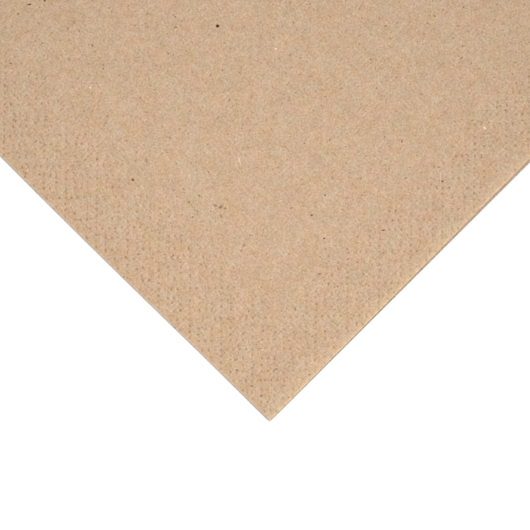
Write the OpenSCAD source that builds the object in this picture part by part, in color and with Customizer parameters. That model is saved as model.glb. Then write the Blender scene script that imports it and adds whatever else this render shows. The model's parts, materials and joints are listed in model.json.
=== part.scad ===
// Paper napkin, folded in quarters and lying flat.
// A square sheet is folded in half, which makes a pair of layers, and the pair
// is folded in half again. The first fold lies on the +X side, the second on the
// +Y side, and the sheet's four cut corners meet at the open corner, -X -Y.

/* [Sheet] */
// Side of the square sheet when it lies flat
sheet_side = 330; // [240:5:400]
// Thickness of the sheet, its two plies together
paper_t = 0.2; // [0.14:0.01:0.3]

/* [Folds] */
// Air gap inside the first fold, between the layers of a pair
first_gap = 0.2; // [0.1:0.05:0.6]
// Air gap inside the second fold, between the lower and the upper pair
second_gap = 0.3; // [0.1:0.05:1.2]

/* [Open edges] */
// Width of the lower pair that shows past the upper pair at the open corner
corner_show = 0.16; // [0.1:0.02:1]
// Angle by which the upper pair's edge draws back along X, in degrees
edge_skew = 0.34; // [0.1:0.02:0.8]

/* [Hidden] */
$fn = 96;
kraft_brown = [0.81, 0.69, 0.57];
cut_room = 1;

// First fold: a half ring whose middle line, with the two layers beside it,
// is as long as the sheet's side.
first_ring_in = first_gap / 2;
first_ring_out = first_ring_in + paper_t;
first_arc = PI * (first_ring_in + first_ring_out) / 2;
layer_w = (sheet_side - first_arc) / 2;

// Second fold: the pair turns half round an axis along X, with the same sum
// taken along the middle of the pair.
pair_in = second_gap / 2;
pair_out = pair_in + 2 * paper_t + first_gap;
second_arc = PI * (pair_in + pair_out) / 2;
pair_l = (sheet_side - second_arc) / 2;

// The folded napkin is centred on the origin and rests on z = 0.
folded_w = layer_w + first_ring_out;
folded_l = pair_l + pair_out;
open_x = -folded_w / 2;
open_y = -folded_l / 2;
fold_y = folded_l / 2 - pair_out;

// Section of the pair: x is the distance from the second fold's axis, and y
// runs along that axis from the open edge to the first fold.
module pair_section() {
    ring_x = (pair_in + pair_out) / 2;
    translate([pair_in, 0]) square([paper_t, layer_w]);
    translate([pair_out - paper_t, 0]) square([paper_t, layer_w]);
    translate([ring_x, layer_w]) difference() {
        circle(r = first_ring_out);
        circle(r = first_ring_in);
        translate([-first_ring_out - cut_room, -first_ring_out - cut_room])
            square([2 * (first_ring_out + cut_room), first_ring_out + cut_room]);
    }
}

// Flat run of the pair, away from the second fold.
module pair_run() {
    rotate([90, 0, 0]) linear_extrude(pair_l) pair_section();
}

// The whole fold, about its own axis: one run, the half turn and the other run.
module folded_pair() {
    pair_run();
    rotate_extrude(angle = 180) pair_section();
    mirror([1, 0, 0]) pair_run();
}

// What the upper pair lacks along its two open edges, as the fold is not quite true.
module drawn_back() {
    far_x = folded_w / 2 + cut_room;
    near_y = open_y + corner_show;
    translate([0, 0, pair_out]) linear_extrude(pair_out + cut_room) {
        polygon([
            [open_x - cut_room, open_y - cut_room],
            [far_x, open_y - cut_room],
            [far_x, near_y + (far_x - open_x) * tan(edge_skew)],
            [open_x - cut_room, near_y - cut_room * tan(edge_skew)]
        ]);
        polygon([
            [open_x - cut_room, open_y - cut_room],
            [open_x + corner_show, open_y - cut_room],
            [open_x + corner_show, open_y],
            [open_x, 0],
            [open_x - cut_room, 0]
        ]);
    }
}

module napkin() {
    color(kraft_brown) difference() {
        translate([open_x, fold_y, pair_out]) rotate([0, 90, 0]) folded_pair();
        drawn_back();
    }
}

napkin();
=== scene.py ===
"""Paper napkin folded in quarters, made from one sheet of embossed unbleached tissue."""

import bisect
import json
import math
import random

import bmesh
import bpy
from bpy.props import FloatProperty, FloatVectorProperty, IntProperty, PointerProperty
from mathutils import Matrix, Vector


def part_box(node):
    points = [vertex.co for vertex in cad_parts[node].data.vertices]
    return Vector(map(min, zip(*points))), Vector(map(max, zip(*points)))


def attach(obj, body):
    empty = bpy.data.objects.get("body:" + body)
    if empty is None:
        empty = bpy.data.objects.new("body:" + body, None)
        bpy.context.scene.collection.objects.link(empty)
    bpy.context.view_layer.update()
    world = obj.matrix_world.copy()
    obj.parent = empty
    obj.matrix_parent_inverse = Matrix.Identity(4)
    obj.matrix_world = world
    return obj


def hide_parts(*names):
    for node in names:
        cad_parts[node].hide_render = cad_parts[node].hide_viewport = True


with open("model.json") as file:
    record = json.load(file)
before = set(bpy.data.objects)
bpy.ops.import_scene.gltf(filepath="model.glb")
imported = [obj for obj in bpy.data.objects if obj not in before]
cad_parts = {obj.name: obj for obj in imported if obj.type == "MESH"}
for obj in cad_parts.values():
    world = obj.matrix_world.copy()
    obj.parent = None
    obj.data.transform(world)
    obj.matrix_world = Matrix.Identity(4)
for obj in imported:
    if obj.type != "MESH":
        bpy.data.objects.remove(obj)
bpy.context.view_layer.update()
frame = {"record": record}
NODE = "napkin"
NODE_LOW, NODE_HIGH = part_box(NODE)
TISSUE = frame["record"]["materials"][0]

bl_info = {
    "name": "Folded Paper Napkin",
    "version": (1, 0, 0),
    "blender": (4, 5, 0),
    "location": "View3D > Sidebar > Napkin",
    "description": "Lays out a tissue sheet, presses its border, folds it in quarters and lights it",
    "category": "Mesh",
}

MM = 0.001
MM_PER_M = 1000.0
FLAT_MAP = "flat_sheet"
BAKE_MAP = "OFBake"
PRESSED = "pressed"
DOT = "dot"

# Kinds of tile, and the corners and the random seed of the dots.
PLAIN, PRESS, PUFF = 0, 1, 2
DOT_SIDES = 8
PRESS_SEED = 11

# How upright the normal of a flat face is at least, and the angle up to which faces shade smoothly.
FACING = 0.5
SMOOTH_ANGLE = math.radians(50)

# The table under the napkin, and how white the camera sees it.
TABLE_DROP = 0.02 * MM
TABLE_SIZE = 6.0
TABLE_GLOW = 1.04
GLOW_SHARE = 0.94
WHITE = 1.0

# Noise in the pulp: features to the millimetre, detail and roughness.
GRAIN_NOISE = (2.0, 3.0, 0.62)
CLUMP_NOISE = (0.6, 2.0, 0.5)
CLOUD_NOISE = (0.16, 2.0, 0.5)
TINT_NOISE = (0.27, 1.0, 0.35)

# The span of the noise that is used, and the tones at its two ends.
NOISE_SPAN = (0.25, 0.75)
GRAIN_TONES = (0.775, 1.225)
CLUMP_TONES = (0.92, 1.08)
CLOUD_TONES = (0.965, 1.035)
TINT_SWING = (0.11, 0.0, 0.16)
TINT_LEAST = (0.945, 1.0, 0.92)

# How far the tissue is pressed, and the tones that go with it: dots darkened partly for their denser tissue
# and partly as painted shade in the pits, and a painted highlight beside them.
PRESS_SPAN = (0.15, 1.2)
DOT_DENSITY_AND_SHADE_TONES = (1.0, 0.617)
PUFF_HIGHLIGHT_SPAN = (-1.0, 0.0)
PUFF_HIGHLIGHT_TONES = (1.08, 1.0)

# Paler tissue beside the cut edges: millimetres from the edge, and the tones there.
SIDE_GLEAM = (0.45, 1.0, 1.13, 1.0)
END_FADE = (0.3, 3.6, 1.135, 1.0)
END_GLEAM = (0.3, 1.0, 1.2, 1.0)

# Denser rim beside the cut edges: millimetres from the edge, and strength.
RIM_SPAN = (2.2, 1.0)
RIM_STRENGTH = 0.2

# Loose lint on the side edge, the upper end and the lower end: reach in millimetres, and strength.
LINT = ((0.55, 0.6), (0.4, 0.1), (0.6, 0.32))
FULL_LINT = 0.1

# The paper's relief and finish, plain and on its fibres.
FIBRE_HEIGHT = 0.25
BUMP_STRENGTH = 0.5
BUMP_DEPTH = 0.04 * MM
ROUGHNESS = (0.97, 0.8)
SPECULAR = 0.1

# Flecks strewn at random: colour, strength, sizes in millimetres, and the share of cells that have one.
STREWN_FLECKS = {
    "fibres": ("pale_fibre", 0.2, {"cell": 1.9, "length": 1.7, "width": 0.16, "share": 0.8}),
    "specks": ("brown_speck", 0.52, {"cell": 1.2, "length": 0.5, "width": 0.34, "share": 0.35}),
    "bark": ("brown_speck", 0.7, {"cell": 3.6, "length": 0.6, "width": 0.42, "share": 0.4}),
    "long fibres": ("pale_fibre", 0.5, {"cell": 9.0, "length": 1.8, "width": 0.2, "share": 0.3}),
}

# Colour and strength of each kind of fleck that is placed.
FLECK_KINDS = {
    "black": ("black_speck", 1.0),
    "dark": ("black_speck", 0.82),
    "brown": ("brown_speck", 0.6),
    "pale": ("pale_fibre", 0.55),
    "white": ("pale_fibre", 0.95),
}

# Flecks that stand out on the upper face: kind, millimetres to the right of the sheet's open corner and up
# from it as the camera sees it, length, width, and the turn of the length from the right in degrees.
PLACED_FLECKS = (
    ("black", -12.0, 94.5, 0.88, 0.8, 0),
    ("dark", -32.1, 58.1, 0.8, 0.6, -30),
    ("dark", -57.0, 99.9, 1.2, 0.42, 10),
    ("dark", -53.3, 100.8, 0.62, 0.5, 0),
    ("dark", 27.4, 45.6, 1.0, 0.34, 4),
    ("dark", 10.3, 49.3, 0.66, 0.46, 12),
    ("dark", 41.5, 57.2, 0.52, 0.46, 0),
    ("dark", 13.5, 54.0, 0.55, 0.38, 80),
    ("dark", 13.3, 43.7, 0.6, 0.4, 20),
    ("brown", -12.6, 51.8, 1.1, 0.6, -20),
    ("brown", -11.3, 51.4, 1.2, 0.8, 30),
    ("brown", -10.3, 51.1, 0.9, 0.55, -10),
    ("brown", -16.3, 54.1, 0.7, 0.55, 0),
    ("brown", -18.8, 52.6, 0.75, 0.5, 70),
    ("brown", -5.8, 42.2, 0.7, 0.55, 0),
    ("brown", 12.1, 35.2, 0.9, 0.6, 30),
    ("pale", -6.8, 62.4, 2.3, 0.34, 103),
    ("pale", -18.9, 59.0, 0.5, 0.42, 0),
    ("white", -42.3, 80.1, 0.48, 0.42, 0),
    ("white", 51.7, 69.9, 0.9, 0.4, -60),
    ("white", 1.9, 89.0, 0.7, 0.32, 5),
)


class NapkinSheet(bpy.types.PropertyGroup):
    """How the sheet is folded and how loosely its layers lie."""

    paper_t: FloatProperty(
        name="Paper thickness",
        description="Thickness of the sheet, its two plies together",
        default=0.2 * MM,
        unit="LENGTH",
        precision=5,
    )
    first_gap: FloatProperty(
        name="First fold gap",
        description="Air gap between the two layers of a pair",
        default=0.2 * MM,
        unit="LENGTH",
        precision=5,
    )
    corner_show: FloatProperty(
        name="Corner show",
        description="Width of the lower pair that shows past the upper one at the open corner",
        default=0.16 * MM,
        unit="LENGTH",
        precision=5,
    )
    edge_skew: FloatProperty(
        name="Edge skew",
        description="Turn of the upper pair against the lower one",
        default=math.radians(0.34),
        subtype="ANGLE",
    )
    turn_reach: FloatProperty(
        name="Turn reach",
        description="Distance from the second fold over which the upper pair's turn comes in",
        default=80 * MM,
        unit="LENGTH",
    )
    side_bow: FloatProperty(
        name="Side bow",
        description="How far the cut side edges bow outwards at most",
        default=0.47 * MM,
        unit="LENGTH",
        precision=5,
    )
    bow_length: FloatProperty(
        name="Bow length",
        description="Length of the bow from the open corner along the side edges",
        default=135 * MM,
        unit="LENGTH",
    )
    bow_reach: FloatProperty(
        name="Bow reach",
        description="Distance from the side edge over which its bow fades out",
        default=60 * MM,
        unit="LENGTH",
    )
    corner_wear: FloatProperty(
        name="Corner wear",
        description="How far the tip of each cut corner is rubbed back",
        default=0.24 * MM,
        unit="LENGTH",
        precision=5,
    )
    pair_lift: FloatProperty(
        name="Pair lift",
        description="How far the upper pair rises off the lower one at its open edge",
        default=0.16 * MM,
        unit="LENGTH",
        precision=5,
    )
    layer_lift: FloatProperty(
        name="Layer lift",
        description="How far the layers of a pair part at their open edge",
        default=0.14 * MM,
        unit="LENGTH",
        precision=5,
    )
    lift_reach: FloatProperty(
        name="Lift reach",
        description="Distance from a fold at which its layers have parted",
        default=50 * MM,
        unit="LENGTH",
    )
    ripple: FloatProperty(
        name="Ripple length",
        description="Length of the gentle waves in the layers",
        default=70 * MM,
        unit="LENGTH",
    )


class NapkinBorder(bpy.types.PropertyGroup):
    """The embossed border along the sheet's cut edges."""

    step_across: FloatProperty(
        name="Step across",
        description="Half the distance between neighbouring dots, as it comes out across the first fold",
        default=0.762 * MM,
        unit="LENGTH",
        precision=5,
    )
    step_along: FloatProperty(
        name="Step along",
        description="Half the distance between neighbouring dots, as it comes out across the second fold",
        default=0.735 * MM,
        unit="LENGTH",
        precision=5,
    )
    cell_steps: IntProperty(
        name="Cell steps",
        description="Dot steps along one side of the pattern's square cell",
        default=10,
    )
    phase_right: IntProperty(
        name="Phase right",
        description="Whole dot steps from the sheet's corner to the first line of dots that runs up",
        default=4,
    )
    phase_up: IntProperty(
        name="Phase up",
        description="Whole dot steps from the sheet's corner to the first line of dots that runs across",
        default=3,
    )
    slip_across: FloatProperty(
        name="Slip across",
        description="How much of the pattern's first step was cut off at the side edges",
        default=0.23 * MM,
        unit="LENGTH",
        precision=5,
    )
    width_across: FloatProperty(
        name="Width across",
        description="Width of the embossed border beside the side edges",
        default=20.5 * MM,
        unit="LENGTH",
    )
    width_along: FloatProperty(
        name="Width along",
        description="Width of the embossed border beside the end edges",
        default=15.7 * MM,
        unit="LENGTH",
    )
    depth: FloatProperty(
        name="Dot depth",
        description="Depth of a fully pressed dot",
        default=0.11 * MM,
        unit="LENGTH",
        precision=5,
    )
    floor_right: FloatProperty(
        name="Dot floor right",
        description="Half the width of a dot's oval floor, across the napkin's diagonal",
        default=0.14 * MM,
        unit="LENGTH",
        precision=5,
    )
    floor_up: FloatProperty(
        name="Dot floor up",
        description="Half the height of a dot's oval floor, along the diagonal from the open corner",
        default=0.26 * MM,
        unit="LENGTH",
        precision=5,
    )
    puff: FloatProperty(
        name="Puff",
        description="How far the tissue stands up beside a dot",
        default=0.02 * MM,
        unit="LENGTH",
        precision=5,
    )
    taper: FloatProperty(
        name="Taper",
        description="Share of the press that the side border loses from the cut edge inwards",
        default=0.45,
        subtype="FACTOR",
    )
    least_press: FloatProperty(
        name="Least press",
        description="Strength of the faintest dot",
        default=0.45,
        subtype="FACTOR",
    )


class NapkinTissue(bpy.types.PropertyGroup):
    """The colours of the unbleached tissue."""

    base: FloatVectorProperty(
        name="Tissue",
        description="Colour of the tissue",
        default=TISSUE["base_color"][:3],
        size=3,
        subtype="COLOR",
    )
    brown_speck: FloatVectorProperty(
        name="Brown specks",
        description="Colour of the bark specks",
        default=(0.2, 0.085, 0.014),
        size=3,
        subtype="COLOR",
    )
    black_speck: FloatVectorProperty(
        name="Black specks",
        description="Colour of the darkest specks",
        default=(0.05, 0.016, 0.002),
        size=3,
        subtype="COLOR",
    )
    pale_fibre: FloatVectorProperty(
        name="Pale fibres",
        description="Colour of the bleached fibres",
        default=(1.0, 0.83, 0.62),
        size=3,
        subtype="COLOR",
    )
    lint: FloatVectorProperty(
        name="Lint",
        description="Colour of the loose lint on the cut edges",
        default=(0.46, 0.46, 0.46),
        size=3,
        subtype="COLOR",
    )
    rim: FloatVectorProperty(
        name="Rim",
        description="Colour of the denser tissue beside the cut edges",
        default=(0.66, 0.43, 0.24),
        size=3,
        subtype="COLOR",
    )
    warmth: FloatVectorProperty(
        name="Grain warmth",
        description="How much red, green and blue change where the grain is deeper or paler",
        default=(0.76, 1.03, 1.1),
        size=3,
    )
    # Tint of the dots' darker tone, partly painted shade, and of the painted highlight beside them.
    press_shade_and_highlight_warmth: FloatVectorProperty(
        name="Press warmth",
        description="How much red, green and blue change where the tissue is pressed or stands up",
        default=(0.79, 0.97, 1.14),
        size=3,
    )
    cloud_warmth: FloatVectorProperty(
        name="Cloud warmth",
        description="How much red, green and blue change where the pulp is thicker or thinner",
        default=(0.6, 1.06, 1.5),
        size=3,
    )


class NapkinStage(bpy.types.PropertyGroup):
    """The table, the light and the camera."""

    view_width: FloatProperty(
        name="View width",
        description="Width of the picture on the napkin's upper face",
        default=126.6 * MM,
        unit="LENGTH",
    )
    view_right: FloatProperty(
        name="View right",
        description="How far the picture's middle lies to the right of the open corner",
        default=-1.14 * MM,
        unit="LENGTH",
    )
    view_up: FloatProperty(
        name="View up",
        description="How far the picture's middle lies above the open corner",
        default=37.61 * MM,
        unit="LENGTH",
    )
    view_turn: FloatProperty(
        name="View turn",
        description="Turn of the camera about the upright",
        default=math.radians(-44.92),
        subtype="ANGLE",
    )
    lens: FloatProperty(
        name="Lens",
        description="Focal length of the camera in millimetres",
        default=200.0,
        unit="CAMERA",
    )
    key_power: FloatProperty(
        name="Key light",
        description="Power of the lamp over the open corner",
        default=0.115,
        unit="POWER",
    )
    key_up: FloatProperty(
        name="Key up",
        description="How far the lamp lies above the open corner, as the camera sees it",
        default=34 * MM,
        unit="LENGTH",
    )
    key_height: FloatProperty(
        name="Key height",
        description="Height of the lamp over the napkin",
        default=180 * MM,
        unit="LENGTH",
    )
    key_size: FloatProperty(
        name="Key size",
        description="Diameter of the lamp",
        default=90 * MM,
        unit="LENGTH",
    )
    side_power: FloatProperty(
        name="Side light",
        description="Strength of the soft light from one side, which brings out the relief",
        default=1.2,
    )
    side_turn: FloatProperty(
        name="Side turn",
        description="Turn of the side light above the right, as the camera sees it",
        default=math.radians(27),
        subtype="ANGLE",
    )
    side_rise: FloatProperty(
        name="Side rise",
        description="Height of the side light above the table as an angle",
        default=math.radians(30),
        subtype="ANGLE",
    )
    side_spread: FloatProperty(
        name="Side spread",
        description="How wide the side light appears as an angle",
        default=math.radians(25),
        subtype="ANGLE",
    )
    room_light: FloatProperty(
        name="Room light",
        description="Strength of the even light from all round",
        default=0.505,
    )
    table: FloatVectorProperty(
        name="Table",
        description="Colour of the table",
        default=(0.9, 0.9, 0.9),
        size=3,
        subtype="COLOR",
    )


class FoldPlan:
    """Sizes that follow from the sheet's settings and the frame's box, named as in the part's source."""

    def __init__(self, sheet):
        self.paper_t = sheet.paper_t
        self.first_r = (sheet.first_gap + sheet.paper_t) / 2
        self.pair_out = (NODE_HIGH.z - NODE_LOW.z) / 2
        self.pair_r = self.pair_out - sheet.paper_t - sheet.first_gap / 2
        self.axis_z = NODE_LOW.z + self.pair_out
        self.first_arc = math.pi * self.first_r
        self.second_arc = math.pi * self.pair_r
        self.open_x = NODE_LOW.x
        self.open_y = NODE_LOW.y
        self.fold_x = NODE_HIGH.x - self.first_r - sheet.paper_t / 2
        self.fold_y = NODE_HIGH.y - self.pair_out
        self.half_w = self.fold_x - self.open_x + self.first_arc / 2
        self.half_l = self.fold_y - self.open_y + self.second_arc / 2


class BorderPlan:
    """The grid of tiles on the bias that carries the border's dots.

    A unit is half a tile's diagonal, and the tissue has stretched more one way than the other. Places count
    m units from the sheet's outer side edge and n from its end edge. Tiles are centred where m + n is odd,
    and their corners lie where it is even.
    """

    COARSE = 8
    FOLD_ROOM = 2

    def __init__(self, plan, border):
        self.border = border
        self.units = [step / math.sqrt(2) for step in (border.step_across, border.step_along)]
        self.slips = (border.slip_across, 0.0)
        widths = (border.width_across, border.width_along)
        halves = (plan.half_w, plan.half_l)
        sizes = zip(widths, self.slips, self.units)
        self.bands = [self.even((width + slip) / unit) for width, slip, unit in sizes]
        self.lasts = [self.even(half / unit - self.FOLD_ROOM) for half, unit in zip(halves, self.units)]

    @staticmethod
    def even(units):
        """The even number of units at or below a length."""
        return 2 * int(units / 2)

    def reach(self, way, count):
        """Distance of a line of the grid from the cut edge, across (0) or along (1)."""
        return max(0.0, count * self.units[way] - self.slips[way])

    def count(self, way, distance):
        """Whole units that lie within a distance of the cut edge."""
        return math.floor((distance + self.slips[way]) / self.units[way])

    def inside(self, m, n):
        """True if the unit square whose low corner is (m, n) lies in the border."""
        on_sheet = 0 <= m < self.lasts[0] and 0 <= n < self.lasts[1]
        return on_sheet and (m < self.bands[0] or n < self.bands[1])

    def marks(self, way):
        """Units from a cut edge at which the coarse grid has its lines, across (0) or along (1)."""
        band, last = self.bands[way], self.lasts[way]
        return [*self.spread(0, band), *self.spread(band, last)[1:]]

    def spread(self, low, high):
        """Marks from low to high a coarse step apart, on the corners of tiles."""
        return [low, *range(low + self.COARSE, high - self.COARSE // 2, self.COARSE), high]

    def outline(self, m, n):
        """The corners of the tile at (m, n), or of its half in the border, and True if it is whole."""
        corners = [(m + 1, n), (m, n + 1), (m - 1, n), (m, n - 1)]
        quarters = [(m, n), (m - 1, n), (m - 1, n - 1), (m, n - 1)]
        held = [self.inside(*square) for square in quarters]
        if all(held):
            return corners, True
        if not any(held):
            return [], False
        first = next(k for k in range(4) if held[k] and not held[k - 1])
        return [corners[(first + k) % 4] for k in range(3)], False

    def is_dot(self, m, n):
        """True if (m, n) has a dot: dotted lines run both ways, with a ring in each square between them."""
        cell = self.border.cell_steps
        right = ((m - n) // 2 - self.border.phase_right) % cell
        up = ((m + n) // 2 - self.border.phase_up) % cell
        middle = cell // 2
        ring = (middle - 2, middle, middle + 2)
        if right == 0 or up == 0:
            return right % 2 == 0 and up % 2 == 0
        return right in ring and up in ring and (right, up) != (middle, middle)

    def kind(self, m, n):
        """What a tile is: pressed with a dot, puffed up to the left of one, or plain."""
        if self.is_dot(m, n):
            return PRESS
        return PUFF if self.is_dot(m + 1, n - 1) else PLAIN


class FlatSheet:
    """The sheet's outer face before it is folded, with x across the first fold and y across the second."""

    FIRST_BENDS = 8
    SECOND_BENDS = 12
    PLACES_PER_M = 1e7
    SEAM_ROOM = 0.25

    def __init__(self, plan, tiles):
        self.plan = plan
        self.tiles = tiles
        self.mesh = bmesh.new()
        self.dot = self.mesh.faces.layers.int.new(DOT)
        self.places = {}
        side, end = ([tiles.reach(way, count) for count in range(tiles.lasts[way] + 1)] for way in (0, 1))
        ends = [plan.half_l - reach for reach in end]
        self.seams = [[reach - plan.half_w for reach in side], [*(-place for place in ends), *reversed(ends)]]

    def key(self, p, q):
        """A place as whole numbers, so that neighbours share their corners."""
        return round(p * self.PLACES_PER_M), round(q * self.PLACES_PER_M)

    def vertex(self, p, q):
        """The vertex at a place on the sheet, made if there is none yet."""
        key = self.key(p, q)
        if key not in self.places:
            self.places[key] = self.mesh.verts.new((p, q, self.plan.paper_t / 2))
        return self.places[key]

    def add_border(self, end):
        """Tiles the border of the outer quarter at one end of the sheet, -1 or 1."""
        last_m, last_n = self.tiles.lasts
        across = self.seams[0]
        along = self.seams[1] if end < 0 else self.seams[1][::-1]
        for m in range(last_m + 1):
            for n in range(1 - m % 2, last_n + 1, 2):
                corners, whole = self.tiles.outline(m, n)
                if not corners:
                    continue
                places = [(across[a], along[b]) for a, b in corners]
                if end > 0:
                    places.reverse()
                face = self.mesh.faces.new([self.vertex(p, q) for p, q in places])
                face[self.dot] = self.tiles.kind(m, n) if whole else PLAIN

    def lines(self, way, half, arc, bends):
        """Places of the coarse grid's lines from one cut edge to the other, closer round the fold."""
        edge = [half - self.tiles.reach(way, mark) for mark in self.tiles.marks(way)]
        fold = [arc * (step / bends - 0.5) for step in range(bends + 1)]
        return [*(-place for place in edge), *fold, *reversed(edge)]

    def is_tiled(self, p, q):
        """True if a place lies in the tiled border."""
        m = self.tiles.count(0, self.plan.half_w + p)
        n = self.tiles.count(1, self.plan.half_l - abs(q))
        return p < 0 and self.tiles.inside(m, n)

    def side(self, start, end):
        """The vertices from start up to end along a cell's side, with the tile corners that lie on it."""
        way = int(start[0] == end[0])
        low, high = sorted((start[way], end[way]))
        room = self.tiles.units[way] * self.SEAM_ROOM
        seams = self.seams[way]
        between = seams[bisect.bisect(seams, low + room):bisect.bisect(seams, high - room)]
        if start[way] > end[way]:
            between.reverse()
        spots = [self.key(start[0], place) if way else self.key(place, start[1]) for place in between]
        return [self.vertex(*start), *(self.places[spot] for spot in spots if spot in self.places)]

    def add_cells(self):
        """Fills the rest of the sheet with coarse cells."""
        across = self.lines(0, self.plan.half_w, self.plan.first_arc, self.FIRST_BENDS)
        along = self.lines(1, self.plan.half_l, self.plan.second_arc, self.SECOND_BENDS)
        for p0, p1 in zip(across, across[1:]):
            for q0, q1 in zip(along, along[1:]):
                if self.is_tiled((p0 + p1) / 2, (q0 + q1) / 2):
                    continue
                corners = [(p0, q0), (p1, q0), (p1, q1), (p0, q1)]
                sides = zip(corners, corners[1:] + corners[:1])
                self.mesh.faces.new([v for start, end in sides for v in self.side(start, end)])

    def wear_corners(self, wear):
        """Rubs the tips of the four cut corners back a little."""
        back = wear / math.sqrt(2)
        for p in (-self.plan.half_w, self.plan.half_w):
            for q in (-self.plan.half_l, self.plan.half_l):
                tip = self.vertex(p, q)
                tip.co.x -= math.copysign(back, p)
                tip.co.y -= math.copysign(back, q)


def clamp(value):
    """A value held between 0 and 1."""
    return min(1.0, max(0.0, value))


def ease(value):
    """A value held between 0 and 1, with a soft start and end."""
    share = clamp(value)
    return share * share * (3 - 2 * share)


def wave(x, y, length, turn):
    """A gentle wave from 0 to 1 over the napkin, whose crests run a different way for each turn."""
    along = x * math.cos(turn) + y * math.sin(turn)
    across = y * math.cos(turn) - x * math.sin(turn)
    bend_length, bend_start, crest_start = 1.7 * length, 2 * turn, 3 * turn
    bend = math.sin(2 * math.pi * across / bend_length + bend_start)
    return 0.5 + 0.5 * math.sin(2 * math.pi * along / length + crest_start + bend)


class Folder:
    """Takes each point of the flat sheet to its place in the folded napkin."""

    LEAST_LIFT = 0.45
    WAVE_TURNS = (0.5, 1.9, 2.6)
    BOW_POWER = 1.5

    def __init__(self, plan, sheet):
        self.plan = plan
        self.sheet = sheet

    def first_fold(self, p, w):
        """Place along X, and distance from the second fold's axis, of a point w off the sheet's middle."""
        plan = self.plan
        radius = plan.first_r + w
        flat = abs(p) - plan.first_arc / 2
        if flat > 0:
            return plan.fold_x - flat, plan.pair_r - math.copysign(radius, p)
        angle = p / plan.first_r
        return plan.fold_x + radius * math.cos(angle), plan.pair_r - radius * math.sin(angle)

    def second_fold(self, q, radius):
        """Place along Y and height of a point at that distance from the second fold's axis."""
        plan = self.plan
        flat = abs(q) - plan.second_arc / 2
        if flat > 0:
            return plan.fold_y - flat, plan.axis_z + math.copysign(radius, q)
        angle = q / plan.pair_r
        return plan.fold_y + radius * math.cos(angle), plan.axis_z + radius * math.sin(angle)

    def swell(self, x, y, turn):
        """Share of its full lift that a gap has at a place, as the layers wave."""
        return self.LEAST_LIFT + (1 - self.LEAST_LIFT) * wave(x, y, self.sheet.ripple, turn)

    def lift(self, x, y, inner, upper):
        """How far a layer rises as those under it part. Each gap closes at the fold that joins its layers."""
        reach = self.sheet.lift_reach
        from_first = ease((self.plan.fold_x - x) / reach)
        from_second = ease((self.plan.fold_y - y) / reach)
        lower_gap, pair_gap, upper_gap = (self.swell(x, y, turn) for turn in self.WAVE_TURNS)
        lower_gap *= self.sheet.layer_lift * from_first
        pair_gap *= self.sheet.pair_lift * from_second
        upper_gap *= self.sheet.layer_lift * from_first
        outer_rise = upper * (lower_gap + pair_gap + upper_gap)
        inner_rise = lower_gap + upper * pair_gap
        return (1 - inner) * outer_rise + inner * inner_rise

    def shift(self, x, y, upper):
        """How far a point moves in plan: the side edges bow, and the upper pair turns over the lower one."""
        plan, sheet = self.plan, self.sheet
        bow = math.sin(math.pi * clamp((y - plan.open_y) / sheet.bow_length)) ** self.BOW_POWER
        bow *= sheet.side_bow * ease(1 - (x - plan.open_x) / sheet.bow_reach)
        held = upper * ease((plan.fold_y - y) / sheet.turn_reach)
        slope = math.tan(sheet.edge_skew)
        right = sheet.corner_show - (y - plan.open_y) * slope
        back = sheet.corner_show + (x - plan.open_x) * slope
        return held * right - bow, held * back

    def place(self, point):
        """The folded place of a point of the flat sheet."""
        p, q, w = point
        x, radius = self.first_fold(p, w)
        y, z = self.second_fold(q, radius)
        inner = clamp(p / self.plan.first_arc + 0.5)
        upper = clamp(q / self.plan.second_arc + 0.5)
        right, back = self.shift(x, y, upper)
        return Vector((x + right, y + back, z + self.lift(x, y, inner, upper)))


def press_dots(mesh, plan, border):
    """Presses a dimple with an oval floor into each marked tile of the sheet's outer face; its strength also
    sets the dot's darker tone, which is partly painted shade.
    """
    draw = random.Random(PRESS_SEED)
    dot = mesh.faces.layers.int[DOT]
    pressed = mesh.verts.layers.float.new(PRESSED)
    for face in [f for f in mesh.faces if f[dot] == PRESS and f.normal.z > FACING]:
        strength = draw.uniform(border.least_press, 1.0)
        rim = list(face.verts)
        middle = face.calc_center_median()
        share = (plan.half_w + middle.x) / border.width_across
        if share < 1.0:
            strength *= 1.0 + border.taper * (0.5 - share)
        end = math.copysign(1.0, middle.y)
        right = Vector((1.0, end, 0.0)).normalized()
        up = Vector((1.0, -end, 0.0)).normalized()
        arm = (rim[0].co - middle).normalized()
        middle.z -= border.depth * strength
        floor = []
        for side in range(DOT_SIDES):
            reach = Matrix.Rotation(2 * math.pi * side / DOT_SIDES, 3, "Z") @ arm
            reach = right * reach.dot(right) * border.floor_right + up * reach.dot(up) * border.floor_up
            corner = mesh.verts.new(middle + reach)
            # The press strength also darkens the dot's colour, partly as painted shade in the pit.
            corner[pressed] = strength
            floor.append(corner)
        mesh.faces.remove(face)
        mesh.faces.new(floor)
        for k in range(len(rim)):
            inner = [floor[(2 * k + step) % DOT_SIDES] for step in (2, 1, 0)]
            mesh.faces.new([rim[k], rim[(k + 1) % len(rim)], *inner])


def puff_tiles(mesh, border):
    """Lets the tissue stand up a little in each tile to the left of a dot, and marks its crown for a painted
    highlight there.
    """
    dot = mesh.faces.layers.int[DOT]
    pressed = mesh.verts.layers.float[PRESSED]
    for face in [f for f in mesh.faces if f[dot] == PUFF and f.normal.z > FACING]:
        rim = list(face.verts)
        crown = mesh.verts.new(face.calc_center_median() + Vector((0, 0, border.puff)))
        # The crown's mark lightens the tile's colour as a painted highlight on the side that faces the side
        # light.
        crown[pressed] = PUFF_HIGHLIGHT_SPAN[0]
        mesh.faces.remove(face)
        for k in range(len(rim)):
            mesh.faces.new([rim[k - 1], rim[k], crown])


def lay_flat_map(mesh, plan):
    """Gives the sheet a map of its flat self, so that its fibres run on round the folds."""
    layer = mesh.loops.layers.uv.new(FLAT_MAP)
    for face in mesh.faces:
        for loop in face.loops:
            place = loop.vert.co
            loop[layer].uv = (place.x / plan.half_w / 2 + 0.5, place.y / plan.half_l / 2 + 0.5)


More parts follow.
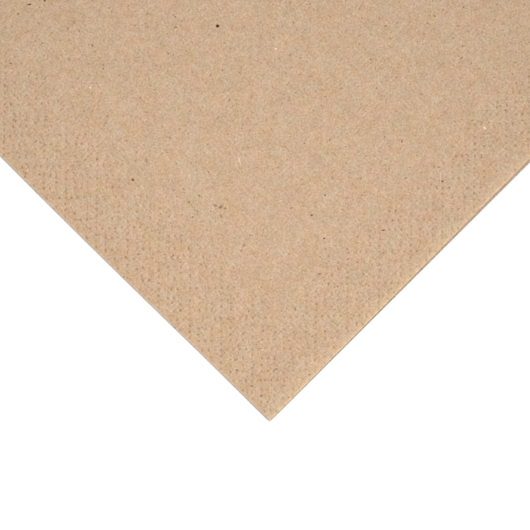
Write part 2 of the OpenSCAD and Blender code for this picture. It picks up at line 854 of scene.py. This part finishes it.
def lay_bake_map(mesh, plan):
    """Gives the sheet a second map without overlaps, in which its upper face has the most room."""
    upper_face = (0.0, 0.0, 0.7, 0.7)
    lower_face = (0.0, 0.74, 0.7, 0.26)
    edge_strip = (0.0, 0.705, 0.7, 0.006)
    strip_step = 0.0085
    hidden_left, hidden_step, hidden_wide, hidden_high = 0.71, 0.168, 0.29, 0.16
    fold_p, fold_q = plan.first_arc / 2, -plan.second_arc / 2
    spans_p = ((-plan.half_w, fold_p), (fold_p, plan.half_w))
    spans_q = ((-plan.half_l, fold_q), (fold_q, plan.half_l))
    boxes = {(True, 0, 1): upper_face, (True, 0, 0): lower_face}
    places = [(face, i, j) for face in (True, False) for i in (0, 1) for j in (0, 1)]
    hidden = [place for place in places if place not in boxes]
    for k, place in enumerate(hidden):
        boxes[place] = (hidden_left, hidden_step * k, hidden_wide, hidden_high)
    layer = mesh.loops.layers.uv.new(BAKE_MAP)
    mesh.normal_update()
    for face in mesh.faces:
        middle = face.calc_center_median()
        if abs(face.normal.z) > FACING:
            i, j = int(middle.x > fold_p), int(middle.y > fold_q)
            left, low, wide, high = boxes[(face.normal.z > 0, i, j)]
            (p0, p1), (q0, q1) = spans_p[i], spans_q[j]
            for loop in face.loops:
                place = loop.vert.co
                share_p, share_q = (place.x - p0) / (p1 - p0), (place.y - q0) / (q1 - q0)
                loop[layer].uv = (left + wide * share_p, low + high * share_q)
            continue
        along_p = abs(face.normal.y) > abs(face.normal.x)
        side = face.normal.y if along_p else face.normal.x
        left, low, wide, high = edge_strip
        low += strip_step * (2 * along_p + (side > 0))
        for loop in face.loops:
            place = loop.vert.co
            share = place.x / plan.half_w if along_p else place.y / plan.half_l
            loop[layer].uv = (left + wide * (share + 1) / 2, low + high * (place.z > 0))


def add_node(tree, kind, inputs=None, **settings):
    """Adds a shader node with its settings, and sets or links its inputs."""
    made = tree.nodes.new(kind)
    for name, value in settings.items():
        setattr(made, name, value)
    for socket, value in (inputs or {}).items():
        if isinstance(value, bpy.types.NodeSocket):
            tree.links.new(value, made.inputs[socket])
        else:
            made.inputs[socket].default_value = value
    return made


def maths(tree, operation, *values):
    """Adds a Math node and returns its output."""
    return add_node(tree, "ShaderNodeMath", dict(enumerate(values)), operation=operation).outputs[0]


def vector_maths(tree, operation, inputs):
    """Adds a Vector Math node and returns its vector."""
    return add_node(tree, "ShaderNodeVectorMath", inputs, operation=operation).outputs["Vector"]


def remap(tree, value, low, high, to_low=0.0, to_high=1.0, kind="LINEAR"):
    """Takes a value from one range to another and returns it."""
    ranges = {"Value": value, "From Min": low, "From Max": high, "To Min": to_low, "To Max": to_high}
    return add_node(tree, "ShaderNodeMapRange", ranges, interpolation_type=kind).outputs["Result"]


def noise(tree, place, scale, detail, roughness):
    """Adds flat noise with about that many features to the millimetre."""
    inputs = {"Vector": place, "Scale": scale, "Detail": detail, "Roughness": roughness}
    return add_node(tree, "ShaderNodeTexNoise", inputs, noise_dimensions="2D").outputs


def paint(tree, mask, strength, under, over):
    """Lays a plain colour over another where a mask is 1 and returns the mix."""
    factor = maths(tree, "MULTIPLY", mask, strength)
    mix = add_node(tree, "ShaderNodeMix", {"Factor": factor}, data_type="RGBA")
    under_socket, over_socket = (s for s in mix.inputs if s.type == "RGBA")
    tree.links.new(under, under_socket)
    over_socket.default_value = (*over, 1.0)
    return next(s for s in mix.outputs if s.type == "RGBA")


def new_group(name, numbers):
    """Starts a node group that takes a place and some numbers and gives a mask."""
    tree = bpy.data.node_groups.new(name, "ShaderNodeTree")
    tree.interface.new_socket("Place", in_out="INPUT", socket_type="NodeSocketVector")
    for number in numbers:
        tree.interface.new_socket(number, in_out="INPUT", socket_type="NodeSocketFloat")
    tree.interface.new_socket("Mask", in_out="OUTPUT", socket_type="NodeSocketFloat")
    return tree, tree.nodes.new("NodeGroupInput").outputs


def finish_group(tree, mask):
    """Links a group's mask to its output."""
    tree.links.new(mask, tree.nodes.new("NodeGroupOutput").inputs["Mask"])


def fleck_group():
    """Node group: an oval fleck with soft edges whose middle is at no offset."""
    tree, given = new_group("fleck", ("Turn", "Length", "Width"))
    turned = add_node(
        tree,
        "ShaderNodeVectorRotate",
        {"Vector": given["Place"], "Angle": given["Turn"]},
        rotation_type="Z_AXIS",
    )
    parts = add_node(tree, "ShaderNodeSeparateXYZ", {0: turned.outputs[0]}).outputs
    along = maths(tree, "DIVIDE", parts["X"], given["Length"])
    across = maths(tree, "DIVIDE", parts["Y"], given["Width"])
    squares = [maths(tree, "MULTIPLY", part, part) for part in (along, across)]
    distance = maths(tree, "SQRT", maths(tree, "ADD", *squares))
    inner, outer = 0.25, 0.65
    finish_group(tree, remap(tree, distance, outer, inner, kind="SMOOTHSTEP"))
    return tree


def strewn_group(fleck):
    """Node group: flecks of one kind, some faint, strewn at random with one to a cell at most."""
    tree, given = new_group("strewn_flecks", ("Cell", "Length", "Width", "Share"))
    shrink = maths(tree, "DIVIDE", 1.0, given["Cell"])
    place = vector_maths(tree, "SCALE", {0: given["Place"], "Scale": shrink})
    cells = add_node(tree, "ShaderNodeTexVoronoi", {"Vector": place, "Scale": 1.0}, voronoi_dimensions="2D")
    offset = vector_maths(tree, "SUBTRACT", {0: place, 1: cells.outputs["Position"]})
    offset = vector_maths(tree, "SCALE", {0: offset, "Scale": given["Cell"]})
    chance = add_node(tree, "ShaderNodeSeparateColor", {0: cells.outputs["Color"]}).outputs
    least, most = 0.5, 1.3
    size = remap(tree, chance["Green"], 0.0, 1.0, least, most)
    inputs = {
        "Place": offset,
        "Turn": maths(tree, "MULTIPLY", chance["Red"], math.pi),
        "Length": maths(tree, "MULTIPLY", given["Length"], size),
        "Width": given["Width"],
    }
    mask = add_node(tree, "ShaderNodeGroup", node_tree=fleck)
    for name, value in inputs.items():
        tree.links.new(value, mask.inputs[name])
    depth = maths(tree, "SUBTRACT", 1.0, maths(tree, "DIVIDE", chance["Blue"], given["Share"]))
    depth = maths(tree, "MAXIMUM", depth, 0.0)
    finish_group(tree, maths(tree, "MULTIPLY", mask.outputs["Mask"], depth))
    return tree


class TissuePaint:
    """Paints the tissue's pattern on the map of the flat sheet, in millimetres."""

    SEED_STEP = (37.0, 53.0)

    def __init__(self, tree, plan):
        self.tree = tree
        self.side = (2 * plan.half_w * MM_PER_M, 2 * plan.half_l * MM_PER_M)
        flat = add_node(tree, "ShaderNodeUVMap", uv_map=FLAT_MAP).outputs["UV"]
        self.place = vector_maths(tree, "MULTIPLY", {0: flat, 1: (*self.side, 0.0)})
        self.fleck = fleck_group()
        self.strewn = strewn_group(self.fleck)

    def group(self, node_tree, place, **numbers):
        """Adds a node group at a place and returns its mask."""
        node = add_node(self.tree, "ShaderNodeGroup", node_tree=node_tree)
        self.tree.links.new(place, node.inputs["Place"])
        for name, value in numbers.items():
            node.inputs[name.capitalize()].default_value = value
        return node.outputs["Mask"]

    def strew(self, seed, **numbers):
        """A mask of flecks strewn over the sheet."""
        step = (*(seed * side for side in self.SEED_STEP), 0.0)
        moved = vector_maths(self.tree, "ADD", {0: self.place, 1: step})
        return self.group(self.strewn, moved, **numbers)

    def placed(self, right, up, length, width, turn):
        """A mask of one fleck on the napkin's upper face."""
        across, back = (up + right) / math.sqrt(2), (up - right) / math.sqrt(2)
        middle = (across, self.side[1] - back, 0.0)
        offset = vector_maths(self.tree, "SUBTRACT", {0: self.place, 1: middle})
        flat_turn = math.radians(turn) - math.pi / 4
        return self.group(self.fleck, offset, turn=flat_turn, length=length, width=width)

    def from_edges(self):
        """Distances of a place from the outer side edge, the upper end edge and the lower end edge."""
        parts = add_node(self.tree, "ShaderNodeSeparateXYZ", {0: self.place}).outputs
        return parts["X"], maths(self.tree, "SUBTRACT", self.side[1], parts["Y"]), parts["Y"]


def tissue_material(tissue, plan):
    """Unbleached tissue: cloudy pulp with fine grain, bark specks, bleached fibres, dots darkened partly for
    their denser tissue and partly as painted shade, and a painted highlight beside them.
    """
    material = bpy.data.materials.new("kraft_tissue")
    material.use_nodes = True
    tree = material.node_tree
    tree.nodes.clear()
    pulp = TissuePaint(tree, plan)
    grain = noise(tree, pulp.place, *GRAIN_NOISE)["Fac"]
    clump = noise(tree, pulp.place, *CLUMP_NOISE)["Fac"]
    cloud = noise(tree, pulp.place, *CLOUD_NOISE)["Fac"]
    tint = noise(tree, pulp.place, *TINT_NOISE)["Color"]
    pressed = add_node(tree, "ShaderNodeAttribute", attribute_name=PRESSED).outputs["Fac"]

    depth = remap(tree, clump, *NOISE_SPAN, *CLUMP_TONES)
    depth = maths(tree, "MULTIPLY", depth, remap(tree, cloud, *NOISE_SPAN, *CLOUD_TONES))
    # Dots darker, partly for denser tissue and partly as painted shade in the pits; tiles beside them lighter
    # as a painted highlight.
    press = remap(tree, pressed, *PRESS_SPAN, *DOT_DENSITY_AND_SHADE_TONES)
    press = maths(tree, "MULTIPLY", press, remap(tree, pressed, *PUFF_HIGHLIGHT_SPAN, *PUFF_HIGHLIGHT_TONES))
    side_edge, upper_end, lower_end = pulp.from_edges()
    tone = remap(tree, grain, *NOISE_SPAN, *GRAIN_TONES)
    tone = maths(tree, "MULTIPLY", tone, remap(tree, side_edge, *SIDE_GLEAM, "SMOOTHSTEP"))
    tone = maths(tree, "MULTIPLY", tone, remap(tree, upper_end, *END_FADE))
    tone = maths(tree, "MULTIPLY", tone, remap(tree, upper_end, *END_GLEAM, "SMOOTHSTEP"))
    hue = vector_maths(tree, "MULTIPLY_ADD", {0: tint, 1: TINT_SWING, 2: TINT_LEAST})
    colour = vector_maths(tree, "MULTIPLY", {0: hue, 1: tissue.base})
    changes = ((tone, tissue.warmth), (press, tissue.press_shade_and_highlight_warmth), (depth, tissue.cloud_warmth))
    for share, warmth in changes:
        change = vector_maths(tree, "SCALE", {0: warmth, "Scale": maths(tree, "SUBTRACT", share, 1.0)})
        change = vector_maths(tree, "ADD", {0: change, 1: (1.0, 1.0, 1.0)})
        colour = vector_maths(tree, "MULTIPLY", {0: colour, 1: change})
    for edge in (side_edge, upper_end):
        colour = paint(tree, remap(tree, edge, *RIM_SPAN), RIM_STRENGTH, colour, tissue.rim)
    for edge, (reach, strength) in zip((side_edge, upper_end, lower_end), LINT):
        colour = paint(tree, remap(tree, edge, reach, FULL_LINT), strength, colour, tissue.lint)

    masks = {}
    for seed, (name, (over, strength, numbers)) in enumerate(STREWN_FLECKS.items(), 1):
        masks[name] = pulp.strew(seed, **numbers)
        colour = paint(tree, masks[name], strength, colour, getattr(tissue, over))
    for kind, *place in PLACED_FLECKS:
        over, strength = FLECK_KINDS[kind]
        colour = paint(tree, pulp.placed(*place), strength, colour, getattr(tissue, over))

    fibres = masks["fibres"]
    height = maths(tree, "ADD", grain, maths(tree, "MULTIPLY", fibres, FIBRE_HEIGHT))
    relief = {"Strength": BUMP_STRENGTH, "Distance": BUMP_DEPTH, "Height": height}
    finish = {
        "Base Color": colour,
        "Roughness": remap(tree, fibres, 0.0, 1.0, *ROUGHNESS),
        "Specular IOR Level": SPECULAR,
        "Normal": add_node(tree, "ShaderNodeBump", relief).outputs["Normal"],
    }
    shader = add_node(tree, "ShaderNodeBsdfPrincipled", finish)
    add_node(tree, "ShaderNodeOutputMaterial", {"Surface": shader.outputs["BSDF"]})
    return material


def table_material(colour):
    """White table that shows as plain white to the camera and still takes the napkin's shadow."""
    material = bpy.data.materials.new("white_table")
    material.use_nodes = True
    tree = material.node_tree
    tree.nodes.clear()
    rays = add_node(tree, "ShaderNodeLightPath").outputs["Is Camera Ray"]
    matt = add_node(tree, "ShaderNodeBsdfDiffuse", {"Color": (*colour, 1.0)})
    glow = add_node(tree, "ShaderNodeEmission", {"Color": (1.0, 1.0, 1.0, 1.0), "Strength": TABLE_GLOW})
    share = maths(tree, "MULTIPLY", rays, GLOW_SHARE)
    mix = add_node(tree, "ShaderNodeMixShader", {0: share, 1: matt.outputs[0], 2: glow.outputs[0]})
    add_node(tree, "ShaderNodeOutputMaterial", {"Surface": mix.outputs[0]})
    return material


class NAPKIN_OT_sheet(bpy.types.Operator):
    """Lays out the sheet, presses its border and folds it in quarters"""

    bl_idname = "napkin.sheet"
    bl_label = "Fold Sheet"

    def execute(self, context):
        scene = context.scene
        plan = FoldPlan(scene.napkin_sheet)
        flat = FlatSheet(plan, BorderPlan(plan, scene.napkin_border))
        flat.add_border(-1)
        flat.add_border(1)
        flat.add_cells()
        flat.wear_corners(scene.napkin_sheet.corner_wear)
        data = bpy.data.meshes.new("folded_sheet")
        flat.mesh.to_mesh(data)
        flat.mesh.free()

        bpy.ops.object.select_all(action="DESELECT")
        piece = bpy.data.objects.new("folded_sheet", data)
        scene.collection.objects.link(piece)
        context.view_layer.objects.active = piece
        piece.select_set(True)
        wall = piece.modifiers.new("Paper", "SOLIDIFY")
        wall.thickness = plan.paper_t
        wall.offset = -1.0
        bpy.ops.object.modifier_apply(modifier=wall.name)

        mesh = bmesh.new()
        mesh.from_mesh(piece.data)
        mesh.normal_update()
        press_dots(mesh, plan, scene.napkin_border)
        puff_tiles(mesh, scene.napkin_border)
        lay_flat_map(mesh, plan)
        lay_bake_map(mesh, plan)
        folder = Folder(plan, scene.napkin_sheet)
        for vertex in mesh.verts:
            vertex.co = folder.place(vertex.co)
        bmesh.ops.reverse_faces(mesh, faces=mesh.faces[:])
        mesh.to_mesh(piece.data)
        mesh.free()
        bpy.ops.object.shade_smooth_by_angle(angle=SMOOTH_ANGLE)

        piece.data.materials.append(tissue_material(scene.napkin_tissue, plan))
        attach(piece, "root")
        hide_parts(NODE)
        return {"FINISHED"}


class NAPKIN_OT_stage(bpy.types.Operator):
    """Sets the white table, the soft light and the camera over the open corner"""

    bl_idname = "napkin.stage"
    bl_label = "Set Stage"

    def execute(self, context):
        scene = context.scene
        stage = scene.napkin_stage
        bpy.ops.object.select_all(action="DESELECT")
        bpy.ops.mesh.primitive_plane_add(size=TABLE_SIZE, location=(0, 0, NODE_LOW.z - TABLE_DROP))
        table = context.active_object
        table.name = "table"
        table.data.materials.append(table_material(stage.table))

        up = Vector((1, 1, 0)).normalized()
        right = Vector((1, -1, 0)).normalized()
        corner = Vector((NODE_LOW.x, NODE_LOW.y, NODE_HIGH.z))
        aim = corner + right * stage.view_right + up * stage.view_up

        world = bpy.data.worlds.new("room")
        scene.world = world
        world.use_nodes = True
        tree = world.node_tree
        tree.nodes.clear()
        rays = add_node(tree, "ShaderNodeLightPath").outputs["Is Camera Ray"]
        strength = remap(tree, rays, 0.0, 1.0, stage.room_light, WHITE)
        sky = add_node(tree, "ShaderNodeBackground", {"Color": (1, 1, 1, 1), "Strength": strength})
        add_node(tree, "ShaderNodeOutputWorld", {"Surface": sky.outputs[0]})

        lamp = bpy.data.lights.new("key_light", "AREA")
        lamp.shape = "DISK"
        lamp.size = stage.key_size
        lamp.energy = stage.key_power
        key = bpy.data.objects.new("key_light", lamp)
        scene.collection.objects.link(key)
        key.location = corner + up * stage.key_up + Vector((0, 0, stage.key_height))
        key.visible_camera = False

        sun = bpy.data.lights.new("side_light", "SUN")
        sun.energy = stage.side_power
        sun.angle = stage.side_spread
        side = bpy.data.objects.new("side_light", sun)
        scene.collection.objects.link(side)
        level = right * math.cos(stage.side_turn) + up * math.sin(stage.side_turn)
        source = level * math.cos(stage.side_rise) + Vector((0, 0, math.sin(stage.side_rise)))
        side.rotation_euler = source.to_track_quat("Z", "Y").to_euler()

        eye = bpy.data.cameras.new("camera")
        eye.lens = stage.lens
        camera = bpy.data.objects.new("camera", eye)
        scene.collection.objects.link(camera)
        camera.location = aim + Vector((0, 0, stage.view_width * stage.lens / eye.sensor_width))
        camera.rotation_euler = (0, 0, stage.view_turn)
        scene.camera = camera
        scene.view_settings.view_transform = "Standard"
        return {"FINISHED"}


class NAPKIN_PT_tools(bpy.types.Panel):
    """Lists the napkin's steps and sizes"""

    bl_idname = "NAPKIN_PT_tools"
    bl_label = "Napkin"
    bl_space_type = "VIEW_3D"
    bl_region_type = "UI"
    bl_category = "Napkin"

    def draw(self, context):
        scene = context.scene
        self.layout.operator(NAPKIN_OT_sheet.bl_idname)
        self.layout.operator(NAPKIN_OT_stage.bl_idname)
        for group in (scene.napkin_sheet, scene.napkin_border, scene.napkin_tissue, scene.napkin_stage):
            box = self.layout.box()
            for name in group.__annotations__:
                box.prop(group, name)


GROUPS = {
    "napkin_sheet": NapkinSheet,
    "napkin_border": NapkinBorder,
    "napkin_tissue": NapkinTissue,
    "napkin_stage": NapkinStage,
}
CLASSES = (*GROUPS.values(), NAPKIN_OT_sheet, NAPKIN_OT_stage, NAPKIN_PT_tools)


def register():
    """Registers the classes and hangs the settings on the scene."""
    for cls in CLASSES:
        bpy.utils.register_class(cls)
    for name, cls in GROUPS.items():
        setattr(bpy.types.Scene, name, PointerProperty(type=cls))


def unregister():
    """Takes the settings and the classes away again."""
    for name in GROUPS:
        delattr(bpy.types.Scene, name)
    for cls in reversed(CLASSES):
        bpy.utils.unregister_class(cls)


def main():
    """Makes the napkin and its stage."""
    register()
    bpy.ops.napkin.sheet()
    bpy.ops.napkin.stage()


if __name__ == "__main__":
    main()
